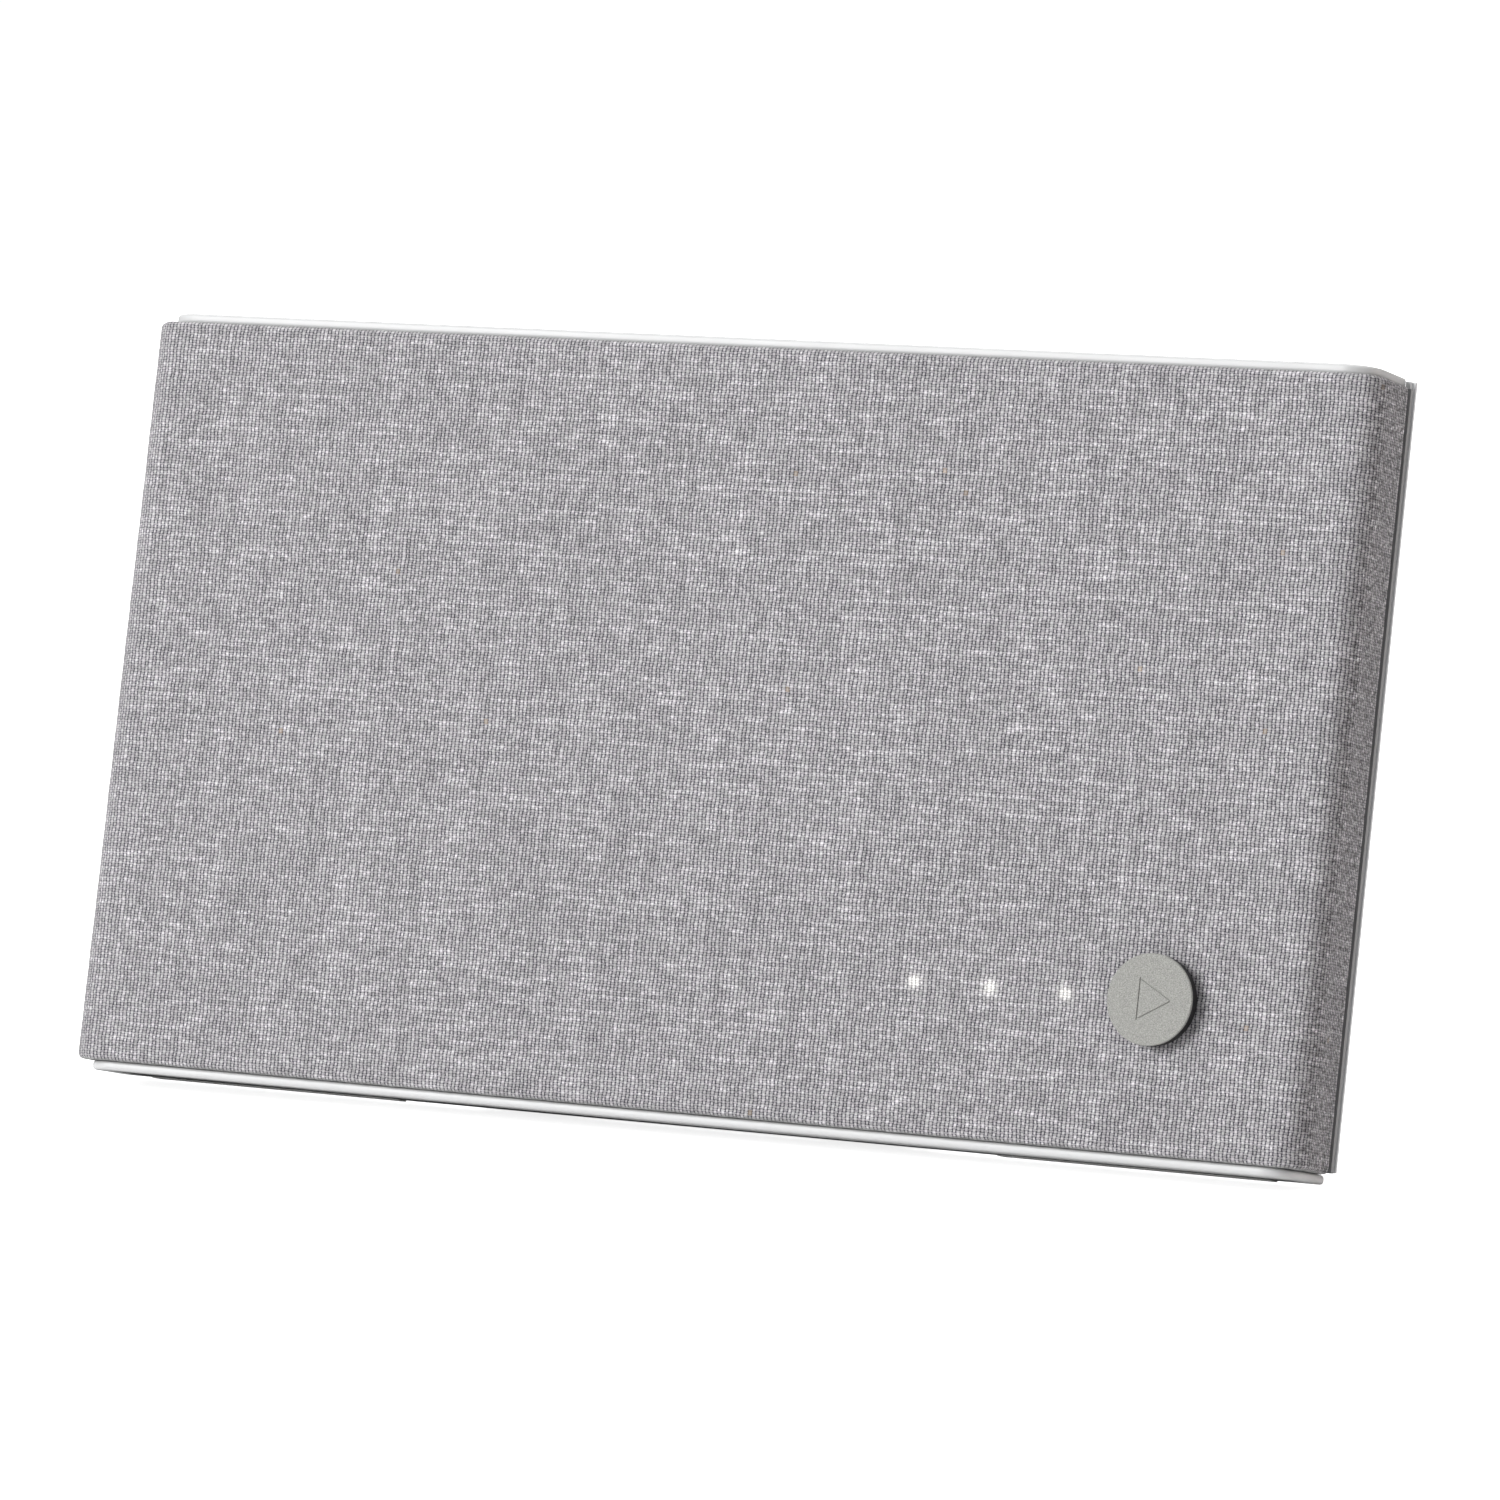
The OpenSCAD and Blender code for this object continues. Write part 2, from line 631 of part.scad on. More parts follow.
module mic_seal() {
    color([0.1, 0.1, 0.1]) leaning() for (s = [-1, 1]) difference() {
        rod(s * 9, body_h - 7.5, 2.6, baffle_back + skin_gap, 9 - skin_gap);
        rod(s * 9, body_h - 7.5, 0.8, 0, 30);
    }
}

module battery_cells() {
    color([0.55, 0.56, 0.58]) leaning()
        for (z = [10, 34.4]) block([-140, 9, z], [-94, 16.6, z + 23.6]);
}

module battery_tray() {
    color([0.13, 0.13, 0.14]) leaning() difference() {
        block([-141.6, baffle_back + 0.1, 8.4], [-92.4, 15, 59.6]);
        block([-140.2, 8.9, 9.8], [-93.8, 30, 58.2]);
        rod(screw_spots[0][0], screw_spots[0][1], 4.3, 0, 30);
    }
}

module port_board() color([0.05, 0.3, 0.18]) leaning() board(-88, -64, 13.5, 57, port_y, port_holes);

module usb_socket() {
    color([0.72, 0.72, 0.74]) leaning() difference() {
        union() {
            for (s = [-1, 1]) rod(port_x + s * 2.9, usb_z, 1.6, port_y + board_t + skin_gap, 21.2);
            block([port_x - 2.9, port_y + board_t + skin_gap, usb_z - 1.6],
                  [port_x + 2.9, 21.2, usb_z + 1.6]);
        }
        difference() {
            union() {
                for (s = [-1, 1]) rod(port_x + s * 2.9, usb_z, 1.3, 13.5, 30);
                block([port_x - 2.9, 13.5, usb_z - 1.3], [port_x + 2.9, 30, usb_z + 1.3]);
            }
            block([port_x - 3.2, 13, usb_z - 0.35], [port_x + 3.2, 20.6, usb_z + 0.35]);
        }
    }
}

module aux_jack() {
    color([0.09, 0.09, 0.1]) leaning() difference() {
        union() {
            block([port_x - 3.6, port_y + board_t + skin_gap, aux_z - 3.6],
                  [port_x + 3.6, 19.8, aux_z + 3.6]);
            rod(port_x, aux_z, 3, 19.7, 22);
        }
        rod(port_x, aux_z, 1.8, 12.5, 30);
    }
}

module power_switch() {
    color([0.3, 0.3, 0.32]) leaning() {
        block([port_x - 3, port_y + board_t + skin_gap, button_z - 3], [port_x + 3, 15.4, button_z + 3]);
        rod(port_x, button_z, 1.5, 15.3, 16);
    }
}

module power_button() {
    color([0.86, 0.86, 0.87]) leaning() {
        rod(port_x, button_z, button_r, 19.4, body_d + button_push + 0.1);
        rod(port_x, button_z, 5.8, 18.6, 19.5);
        rod(port_x, button_z, 2, 16.6, 18.7);
    }
}

// ---- wiring ----

module speaker_leads() {
    color([0.7, 0.1, 0.1]) leaning() for (s = [-1, 1])
        lead([[s * 41, 49], [s * 47, 51], [s * 57, 61], [s * 66, 76], [s * 73, 82]], 2.4, 15.2, 16.2);
}

module ribbon_cable() {
    arch = [[38, 11.85], [45, 11.85], [47, 9.4], [49, 11.85], [55, 13.75]];
    color([0.92, 0.92, 0.9]) leaning() translate([0, 0, 27]) linear_extrude(9) polygon(concat(
        arch, [for (i = [len(arch) - 1 : -1 : 0]) arch[i] + [0, 0.3]]
    ));
}

module battery_lead() {
    color([0.75, 0.12, 0.1]) leaning()
        lead([[-96, 63], [-80, 61], [-60, 61], [-50, 54], [-41, 44]], 2.4, 13.9, 14.9);
}

// ---- small screws ----

module driver_screws() {
    color([0.3, 0.3, 0.31]) leaning() for (s = [-1, 1], a = [45 : 90 : 315])
        translate([s * driver_x + 34 * cos(a), 0, woofer_z + 34 * sin(a)]) difference() {
            union() {
                rod(0, 0, 0.8, 4, 8);
                rod(0, 0, 1.6, 3.2, 4);
            }
            translate([0, 3.1, 0]) rotate([-90, 0, 0]) cylinder(r = 0.7, h = 0.5, $fn = 6);
        }
}

module board_screws() {
    color([0.6, 0.6, 0.62]) leaning() {
        for (p = control_holes) screw(p[0], p[1], control_y + board_t, 5, 1, 1.9, 0.8);
        for (p = main_holes) screw(p[0], p[1], main_y + board_t, 4, 1, 1.9, 0.8);
        for (p = port_holes) screw(p[0], p[1], port_y + board_t, 3.6, 1, 1.9, 0.8);
    }
}

grille_cloth();
grille_frame();
grille_grommets();
enclosure();
top_cap();
bottom_cap();
rear_cover();
cover_gasket();
cover_screws();
foot_plate();
foot_pad();
foot_pin();
base_strips();
woofer_basket(-1);  // woofer_left_basket
woofer_motor(-1);  // woofer_left_motor
woofer_magnet(-1);  // woofer_left_magnet
woofer_cone(-1);  // woofer_left_cone
woofer_surround(-1);  // woofer_left_surround
woofer_spider(-1);  // woofer_left_spider
woofer_basket(1);  // woofer_right_basket
woofer_motor(1);  // woofer_right_motor
woofer_magnet(1);  // woofer_right_magnet
woofer_cone(1);  // woofer_right_cone
woofer_surround(1);  // woofer_right_surround
woofer_spider(1);  // woofer_right_spider
tweeter_body(-1);  // tweeter_left_body
tweeter_dome(-1);  // tweeter_left_dome
tweeter_body(1);  // tweeter_right_body
tweeter_dome(1);  // tweeter_right_dome
radiator_frame();
radiator_plate();
radiator_surround();
knob_cap();
knob_body();
knob_shaft();
knob_bushing();
encoder_body();
encoder_plunger();
control_board();
lamps();
light_pipes();
main_board();
board_chips();
heat_spreader();
wifi_antenna();
mic_board();
mic_seal();
battery_cells();
battery_tray();
port_board();
usb_socket();
aux_jack();
power_button();
power_switch();
speaker_leads();
ribbon_cable();
battery_lead();
driver_screws();
board_screws();
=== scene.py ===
import json
import math

import bmesh
import bpy
import numpy as np
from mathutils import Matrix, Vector


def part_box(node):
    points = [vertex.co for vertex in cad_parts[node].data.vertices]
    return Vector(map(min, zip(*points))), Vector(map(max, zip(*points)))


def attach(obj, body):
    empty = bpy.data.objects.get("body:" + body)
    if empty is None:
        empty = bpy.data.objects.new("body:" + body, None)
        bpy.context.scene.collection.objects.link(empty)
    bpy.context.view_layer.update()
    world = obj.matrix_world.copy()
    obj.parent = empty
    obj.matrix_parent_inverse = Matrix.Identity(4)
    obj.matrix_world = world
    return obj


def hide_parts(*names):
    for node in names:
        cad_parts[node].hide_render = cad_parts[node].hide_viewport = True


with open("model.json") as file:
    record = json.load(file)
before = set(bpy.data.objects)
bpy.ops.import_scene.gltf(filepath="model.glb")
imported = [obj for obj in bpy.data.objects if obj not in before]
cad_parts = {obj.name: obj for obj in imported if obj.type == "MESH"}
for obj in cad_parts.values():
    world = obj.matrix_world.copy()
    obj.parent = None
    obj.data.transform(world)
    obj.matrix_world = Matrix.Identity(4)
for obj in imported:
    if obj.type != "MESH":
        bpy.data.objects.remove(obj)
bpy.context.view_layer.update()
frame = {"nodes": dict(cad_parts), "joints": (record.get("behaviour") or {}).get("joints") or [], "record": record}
nodes = frame["nodes"]
slot_of = {part["node"]: part["material_slot"] for part in frame["record"]["subparts"]}
body_of = {name: body for body, names in frame["record"]["behaviour"]["bodies"].items() for name in names}
scene = bpy.context.scene
MM = 0.001


# ---- the slab's own directions: X right, Y from the cloth's front to the back, Z up the cloth ----

knob_joint = next(joint for joint in frame["joints"] if joint["name"] == "knob_turn")
lean = math.atan2(-knob_joint["axis"][2], knob_joint["axis"][1])
cos_lean = math.cos(lean)
sin_lean = math.sin(lean)
cloth_lo, cloth_hi = (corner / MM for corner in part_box("grille_cloth"))
tall = cloth_hi.z - cloth_lo.z
deep = cloth_hi.y - cloth_lo.y
HALF_W = (cloth_hi.x - cloth_lo.x) / 2
CLOTH_H = (tall * cos_lean - deep * sin_lean) / math.cos(2 * lean)
CLOTH_D = (deep * cos_lean - tall * sin_lean) / math.cos(2 * lean)
ORIGIN_Y = cloth_lo.y
ORIGIN_Z = cloth_lo.z + CLOTH_D * sin_lean
knob_lo, knob_hi = (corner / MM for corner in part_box("knob_cap"))
KNOB_X = (knob_lo.x + knob_hi.x) / 2


def slab(x, y, z):
    """A point given in the slab's directions, in millimetres, as a place in the row frame."""
    return Vector((x, y * cos_lean + z * sin_lean + ORIGIN_Y, z * cos_lean - y * sin_lean + ORIGIN_Z)) * MM


def in_slab(place):
    """The slab's x, y and z, in millimetres, of a place in the row frame."""
    y = place[1] / MM - ORIGIN_Y
    z = place[2] / MM - ORIGIN_Z
    return place[0] / MM, y * cos_lean - z * sin_lean, y * sin_lean + z * cos_lean


LAMP_APART = 4.0        # corners further apart than this belong to different lamps, in mm


def lamp_middles():
    """The lamps' middles from left to right, in the slab's x."""
    across = sorted(in_slab(corner.co)[0] for corner in nodes["lamps"].data.vertices)
    lamps = [[across[0]]]
    for x in across[1:]:
        if x - lamps[-1][-1] > LAMP_APART:
            lamps.append([])
        lamps[-1].append(x)
    return [round((xs[0] + xs[-1]) / 2, 3) for xs in lamps]


KNOB_Z = in_slab(knob_joint["pos_m"])[2]
LAMP_X = lamp_middles()


# ---- camera ----

AIM = slab(13.1, -0.5, 81.0)
TOWARDS_CAMERA = Vector((0.4500, -0.8828, 0.1349)).normalized()
CAMERA_DISTANCE = 1.804
LENS = 196.2            # in mm, as is the sensor
SENSOR = 36

camera_data = bpy.data.cameras.new("camera")
camera_data.lens = LENS
camera_data.sensor_width = SENSOR
camera_data.clip_end = 20
camera = bpy.data.objects.new("camera", camera_data)
camera.location = AIM + TOWARDS_CAMERA * CAMERA_DISTANCE
camera.rotation_euler = (-TOWARDS_CAMERA).to_track_quat("-Z", "Y").to_euler()
scene.collection.objects.link(camera)
scene.camera = camera
scene.view_settings.view_transform = "Standard"


# ---- writing node graphs as expressions ----

class Value:
    """A shader socket on which + - * / build Math nodes."""

    def __init__(self, graph, socket):
        self.graph = graph
        self.socket = socket

    def __add__(self, other):
        return self.graph.math("ADD", self, other)

    __radd__ = __add__

    def __sub__(self, other):
        return self.graph.math("SUBTRACT", self, other)

    def __rsub__(self, other):
        return self.graph.math("SUBTRACT", other, self)

    def __mul__(self, other):
        return self.graph.math("MULTIPLY", self, other)

    __rmul__ = __mul__

    def __truediv__(self, other):
        return self.graph.math("DIVIDE", self, other)


class Graph:
    """One material's nodes."""

    def __init__(self, name, **principled):
        self.material = bpy.data.materials.new(name)
        self.material.use_nodes = True
        self.tree = self.material.node_tree
        self.shader = self.tree.nodes["Principled BSDF"]
        for socket, value in principled.items():
            self.shader.inputs[socket.replace("_", " ")].default_value = value

    def put(self, value, socket):
        if isinstance(value, Value):
            self.tree.links.new(value.socket, socket)
        elif isinstance(value, (tuple, list)) and socket.type == "RGBA":
            socket.default_value = (*value[:3], 1)
        else:
            socket.default_value = value

    def math(self, operation, *values):
        node = self.tree.nodes.new("ShaderNodeMath")
        node.operation = operation
        for value, socket in zip(values, node.inputs):
            self.put(value, socket)
        return Value(self, node.outputs[0])

    def clamp(self, value, low=0.0, high=1.0):
        return self.math("MINIMUM", self.math("MAXIMUM", value, low), high)

    def ramp(self, value, low, high, out_low=0.0, out_high=1.0):
        """A smooth step from out_low to out_high while the value goes from low to high."""
        node = self.tree.nodes.new("ShaderNodeMapRange")
        node.interpolation_type = "SMOOTHSTEP"
        for given, socket in zip((value, low, high, out_low, out_high), node.inputs):
            self.put(given, socket)
        return Value(self, node.outputs[0])

    def vector(self, x, y, z=0.0):
        node = self.tree.nodes.new("ShaderNodeCombineXYZ")
        for value, socket in zip((x, y, z), node.inputs):
            self.put(value, socket)
        return Value(self, node.outputs[0])

    def parts(self, vector):
        node = self.tree.nodes.new("ShaderNodeSeparateXYZ")
        self.put(vector, node.inputs[0])
        return [Value(self, out) for out in node.outputs]

    def attribute(self, name):
        node = self.tree.nodes.new("ShaderNodeAttribute")
        node.attribute_name = name
        return Value(self, node.outputs["Vector"])

    def place(self, scale=(1, 1, 1)):
        """The object's own coordinates in millimetres, then scaled."""
        node = self.tree.nodes.new("ShaderNodeTexCoord")
        mapping = self.tree.nodes.new("ShaderNodeMapping")
        mapping.inputs["Scale"].default_value = [s / MM for s in scale]
        self.tree.links.new(node.outputs["Object"], mapping.inputs["Vector"])
        return Value(self, mapping.outputs[0])

    def noise(self, where, scale=1.0, detail=2.0, roughness=0.5):
        node = self.tree.nodes.new("ShaderNodeTexNoise")
        node.inputs["Detail"].default_value = detail
        node.inputs["Roughness"].default_value = roughness
        node.inputs["Scale"].default_value = scale
        self.put(where, node.inputs["Vector"])
        return Value(self, node.outputs["Fac"])

    def random(self, where):
        node = self.tree.nodes.new("ShaderNodeTexWhiteNoise")
        node.noise_dimensions = "3D"
        self.put(where, node.inputs["Vector"])
        return Value(self, node.outputs["Value"])

    def cells(self, where, scale=1.0):
        node = self.tree.nodes.new("ShaderNodeTexVoronoi")
        node.inputs["Scale"].default_value = scale
        self.put(where, node.inputs["Vector"])
        return Value(self, node.outputs["Distance"])

    def mix(self, share, a, b):
        node = self.tree.nodes.new("ShaderNodeMix")
        node.data_type = "RGBA"
        self.put(share, node.inputs[0])
        self.put(a, node.inputs[6])
        self.put(b, node.inputs[7])
        return Value(self, node.outputs[2])

    def tint(self, colour, tone):
        """A colour multiplied by a number."""
        node = self.tree.nodes.new("ShaderNodeVectorMath")
        node.operation = "SCALE"
        self.put(colour if isinstance(colour, Value) else Vector(colour), node.inputs[0])
        self.put(tone, node.inputs["Scale"])
        return Value(self, node.outputs[0])

    def bump(self, height, millimetres, strength=1.0):
        node = self.tree.nodes.new("ShaderNodeBump")
        node.inputs["Strength"].default_value = strength
        node.inputs["Distance"].default_value = millimetres * MM
        self.put(height, node.inputs["Height"])
        self.tree.links.new(node.outputs[0], self.shader.inputs["Normal"])

    def set(self, **sockets):
        for name, value in sockets.items():
            self.put(value, self.shader.inputs[name.replace("_", " ")])
        return self.material


def linear(red, green, blue):
    """An sRGB colour from 0 to 255 as the linear numbers that shaders take."""
    return tuple(((c / 255 + 0.055) / 1.055) ** 2.4 for c in (red, green, blue))


# ---- the woven cloth ----

WARP = 0.955            # pitch of the columns of thread, in mm
BEAD = 1.17             # length of one bead of a column, in mm
CORNER_R = 6.8
FOLD_R = 1.3            # rounding of the cloth's top and bottom edges
REAR_R = 0.5            # rounding of its rear edges
REAR_TUCK = 1.1         # how far the rear edges turn in
FRONT_HEM = 5.0
SIDE_HEM = 2.5
KNOB_HOLE = 5.6
UNEVEN = 0.05           # how far the stretched cloth waves in and out, in mm


def plan_point(s):
    """The cloth's plan at arc length s from its middle: place, outward and inset directions, hem width."""
    side = math.copysign(1, s)
    s = abs(s)
    straight = HALF_W - CORNER_R
    arc = CORNER_R * math.pi / 2
    flank = CLOTH_D - REAR_R - CORNER_R
    rear_arc = REAR_R * math.pi / 2
    if s < straight:
        place, outward, inset, hem = (s, 0), (0, -1), (0, -1), FRONT_HEM
    elif s < straight + arc:
        share = (s - straight) / arc
        turn = share * math.pi / 2
        outward = (math.sin(turn), -math.cos(turn))
        place = (straight + CORNER_R * outward[0], CORNER_R + CORNER_R * outward[1])
        inset, hem = outward, FRONT_HEM + (SIDE_HEM - FRONT_HEM) * share
    elif s < straight + arc + flank:
        place = (HALF_W, CORNER_R + s - straight - arc)
        outward, inset, hem = (1, 0), (1, 0), SIDE_HEM
    elif s < straight + arc + flank + rear_arc:
        turn = (s - straight - arc - flank) / REAR_R
        outward = (math.cos(turn), math.sin(turn))
        place = (HALF_W - REAR_R + REAR_R * outward[0], CLOTH_D - REAR_R + REAR_R * outward[1])
        inset, hem = (1, 0), SIDE_HEM - (HALF_W - place[0])
    else:
        tuck = s - straight - arc - flank - rear_arc
        place, outward, inset = (HALF_W - REAR_R - tuck, CLOTH_D), (0, 1), (1, 0)
        hem = SIDE_HEM - REAR_R - tuck
    return [(side * a, b) for a, b in (place, outward, inset)] + [hem]


def wall_point(t):
    """The cloth at arc length t up from its bottom hem: shares of the fold and hem, height, tilt."""
    fold = FOLD_R * math.pi / 2
    hem = FRONT_HEM - FOLD_R
    wall = CLOTH_H - 2 * FOLD_R
    if t < hem:
        return 1, 1 - t / hem, 0, -math.pi / 2
    if t < hem + fold:
        tilt = (t - hem) / FOLD_R - math.pi / 2
        return 1 - math.cos(tilt), 0, FOLD_R * (1 + math.sin(tilt)), tilt
    if t < hem + fold + wall:
        return 0, 0, FOLD_R + t - hem - fold, 0
    if t < hem + 2 * fold + wall:
        tilt = (t - hem - fold - wall) / FOLD_R
        return 1 - math.cos(tilt), 0, CLOTH_H - FOLD_R + FOLD_R * math.sin(tilt), tilt
    return 1, (t - hem - 2 * fold - wall) / hem, CLOTH_H, math.pi / 2


def stations(*runs):
    """Arc lengths from 0 through runs of (length, number of steps)."""
    ends = np.cumsum([0] + [length for length, count in runs])
    steps = [np.linspace(ends[i], ends[i + 1], count + 1) for i, (length, count) in enumerate(runs)]
    return np.concatenate([steps[0]] + [step[1:] for step in steps[1:]])


def woven_sheet(name):
    """The cloth as one sheet, with its arc lengths in millimetres kept for the shader."""
    right = stations(
        (HALF_W - CORNER_R, 98), (CORNER_R * math.pi / 2, 14), (CLOTH_D - REAR_R - CORNER_R, 7),
        (REAR_R * math.pi / 2, 5), (REAR_TUCK, 2),
    )
    lengths_s = np.concatenate([-right[:0:-1], right])
    fold_run = (FOLD_R * math.pi / 2, 6)
    hem_run = (FRONT_HEM - FOLD_R, 3)
    lengths_t = stations(hem_run, fold_run, (CLOTH_H - 2 * FOLD_R, 112), fold_run, hem_run)
    reach_s = right[-1]
    reach_t = lengths_t[-1]
    plan = [plan_point(s) for s in lengths_s]
    place = np.array([p[0] for p in plan])[:, None, :]
    outward = np.array([p[1] for p in plan])[:, None, :]
    inset = np.array([p[2] for p in plan])[:, None, :]
    hem = np.array([p[3] for p in plan])[:, None]
    wall = zip(*(wall_point(t) for t in lengths_t))
    fold, hem_share, height, tilt = (np.array(column)[None, :] for column in wall)
    fold_r = np.minimum(FOLD_R, 0.5 * hem)
    inward = fold_r * fold + (hem - fold_r) * hem_share
    flat = place - inset * inward[..., None]
    relief = UNEVEN * np.sin(0.9 * lengths_s[:, None] + 2.0 * np.sin(0.23 * lengths_t[None, :]))
    relief = relief * np.sin(0.31 * lengths_t[None, :] + 1.3 * np.sin(0.17 * lengths_s[:, None]))
    level = np.cos(tilt)
    x = flat[..., 0] + outward[..., 0] * level * relief
    y = flat[..., 1] + outward[..., 1] * level * relief
    z = height + np.sin(tilt) * relief
    row_y = y * cos_lean + z * sin_lean + ORIGIN_Y
    row_z = z * cos_lean - y * sin_lean + ORIGIN_Z
    rows = np.stack([x, row_y, row_z], -1) * MM
    # the knob's hole is cut in the front only: further back the distance is made large
    hole = np.hypot(x - KNOB_X, height - KNOB_Z) + np.where(y < 1, 0, 100)
    count_t = len(lengths_t)
    index = np.arange(rows.shape[0] * count_t).reshape(rows.shape[0], count_t)
    faces = np.stack([index[:-1, :-1], index[1:, :-1], index[1:, 1:], index[:-1, 1:]], -1)
    kept = faces[(hole[:-1, :-1] + hole[1:, 1:]) / 2 > KNOB_HOLE]
    used = np.zeros(index.size, bool)
    used[kept.ravel()] = True
    renumbered = np.cumsum(used) - 1
    mesh = bpy.data.meshes.new(name)
    mesh.from_pydata(rows.reshape(-1, 3)[used], [], renumbered[kept])
    mesh.shade_smooth()
    edge = np.abs(lengths_t - reach_t / 2)[None, :]
    lengths = np.stack(np.broadcast_arrays(lengths_s[:, None], lengths_t[None, :], edge), -1)
    lengths = lengths.reshape(-1, 3)[used].astype(np.float32)
    mesh.attributes.new("lengths", "FLOAT_VECTOR", "POINT").data.foreach_set("vector", lengths.ravel())
    piece = bpy.data.objects.new(name, mesh)
    scene.collection.objects.link(piece)
    return piece, 2 * reach_s * MM, reach_t * MM


YARN_PALE = linear(194, 193, 194)
YARN_COOL = linear(200, 196, 200)
# painted shade: this dark colour in the crevices between the threads stands in for their shadow
YARN_GAP_SHADE = linear(54, 52, 63)       # between the threads
YARN_SPECK = linear(165, 145, 122)  # a few brown fibres
HEM_TINT = linear(150, 154, 148)
SPECK_FREE = 0.9997                 # share of the beads without such a speck
FLANK_SHADE_FROM = 3.0                    # where the sides' painted shade and coarser look begin round the corner, in mm
FLANK_SHADE_TO = 9.0                      # and where it is full
LAMP_CORE = 2.0                     # radius of the bright middle of a lamp's glow painted on the cloth, in mm


def cloth_material():
    """Melange cloth: columns of beads of thread, every second column narrower and half a bead higher."""
    g = Graph("cloth", Roughness=0.9, Sheen_Weight=0.25, Sheen_Roughness=0.5, Specular_IOR_Level=0.25)
    s, t, edge = g.parts(g.attribute("lengths"))
    # the threads wander a little, both along the columns and across them
    drift = 0.05 * g.math("SINE", 0.83 * s + 1.9 * g.math("SINE", 0.21 * t))
    drift = drift + 0.03 * g.math("SINE", 2.1 * s - 0.37 * t)
    sway = 0.07 * g.math("SINE", 0.71 * t + 1.7 * g.math("SINE", 0.17 * s))
    sway = sway + 0.05 * g.math("SINE", 1.9 * t + 0.29 * s)
    loose = g.noise(g.vector(s, t), scale=1.1, detail=1.0) - 0.5
    column = g.math("FLOOR", (s + sway) / WARP)
    across = (s + sway + 0.3 * loose) / WARP - column - 0.5
    odd = g.math("FLOORED_MODULO", column, 2.0)
    climb = (t + drift) / BEAD + 0.5 * odd
    bead = g.math("FLOOR", climb)
    along = climb - bead - 0.5
    beads = g.random(g.vector(column, bead, 3.0))
    half = 0.5 - 0.1 * odd + 0.08 * (beads - 0.5)
    wide = g.math("POWER", g.math("ABSOLUTE", across / half), 2.6)
    crown = g.math("POWER", g.math("ABSOLUTE", along / (0.34 + 0.08 * beads)), 3.0)
    warp = g.clamp(1.0 - wide - crown)
    # the weft shows as a smaller, flatter bead where one warp bead ends and the next begins
    ends = 0.5 - g.math("ABSOLUTE", along)
    narrow = g.math("POWER", g.math("ABSOLUTE", across * 1.75), 5.0)
    crossing = 1.0 - g.math("POWER", ends / 0.2, 2.0) - narrow
    height = g.math("MAXIMUM", warp, (0.6 + 0.3 * beads) * g.clamp(crossing))
    # tones that differ from bead to bead, column to column and row to row, with fibres and slubs
    columns = g.random(g.vector(column, 7.0, 1.0))
    row = g.math("FLOOR", t / (BEAD / 2))
    slub = g.ramp(g.noise(g.vector(s / 9.0, row * 3.7), detail=0.0), 0.6, 0.68)
    cloudy = g.noise(g.vector(s, t), scale=0.035, detail=2.0)
    fibres = g.noise(g.vector(s * 3.0, t * 1.2), scale=2.0, detail=2.0)
    rows = g.ramp(g.noise(g.vector(s / 7.0, row * 5.3), detail=1.0), 0.36, 0.62)
    tone = (0.83 + 0.32 * g.random(g.vector(bead, column, 5.0))) * (0.95 + 0.1 * columns)
    tone = tone * (0.93 + 0.1 * rows)
    # on the sides the threads bunch into uneven knots a few beads wide, and the tone there is darkened on average
    # as painted shade
    straight = HALF_W - CORNER_R
    flank = g.ramp(g.math("ABSOLUTE", s), straight + FLANK_SHADE_FROM, straight + FLANK_SHADE_TO)
    knots = g.noise(g.vector(s / 1.5, t / 0.9, 4.0), detail=1.0)
    tone = tone * (1.0 + flank * (2.1 * knots - 1.33))
    tone = tone * (0.86 + 0.28 * fibres) * (0.96 + 0.08 * cloudy) * (0.97 + 0.3 * slub)
    lit = g.mix(g.random(g.vector(bead, column, 9.0)), YARN_PALE, YARN_COOL)
    # the crowns take the yarn's pale colour, and towards the gaps it darkens into painted shade
    yarn = g.mix(g.math("POWER", height, 0.8), YARN_GAP_SHADE, lit)
    speck = g.math("GREATER_THAN", g.random(g.vector(column, bead, 21.0)), SPECK_FREE)
    yarn = g.mix(speck * 0.5, yarn, YARN_SPECK)
    hem = g.ramp(edge, CLOTH_H / 2 - 0.6, CLOTH_H / 2 + 0.6)
    yarn = g.mix(hem * 0.4, yarn, HEM_TINT)
    g.bump(height + 0.12 * fibres, 0.16, 0.8)
    # the lamps behind the cloth are painted on it as an emitted glow, stronger on the threads than between them
    painted_lamp_glow = 0.0
    for x in LAMP_X:
        away = g.math("SQRT", g.math("POWER", s - x, 2.0) + g.math("POWER", t - LAMP_T, 2.0))
        core = g.ramp(away, 0.3, LAMP_CORE, 1.0, 0.0) * 0.62
        halo = g.math("EXPONENT", away * away * -0.22) * 0.28
        painted_lamp_glow = painted_lamp_glow + core + halo
    painted_lamp_glow = painted_lamp_glow * (0.4 + 0.6 * height)
    return g.set(
        Base_Color=g.tint(yarn, tone),
        Roughness=0.86 + 0.1 * fibres,
        Emission_Color=(1.0, 0.985, 0.93),
        Emission_Strength=painted_lamp_glow,
    )


# ---- other materials: one family per kind of surface ----

def moulded(name, colour, roughness, grain=0.35, depth=0.012, mottle=0.04, metallic=0.0):
    """Moulded or painted surface with a fine grain, faint mottling and uneven gloss."""
    g = Graph(name, Metallic=metallic)
    where = g.place()
    fine = g.noise(where, scale=1 / grain, detail=3.0, roughness=0.6)
    wide = g.noise(where, scale=0.045, detail=3.0)
    specks = g.noise(where, scale=0.9, detail=1.0)
    tone = 1.0 - mottle + 2 * mottle * (0.6 * wide + 0.4 * specks)
    g.bump(fine + 0.4 * specks, depth, 1.0)
    uneven_gloss = 0.16 * (wide - 0.5) + 0.1 * (fine - 0.5)
    return g.set(Base_Color=g.tint(colour, tone), Roughness=g.clamp(roughness + uneven_gloss))


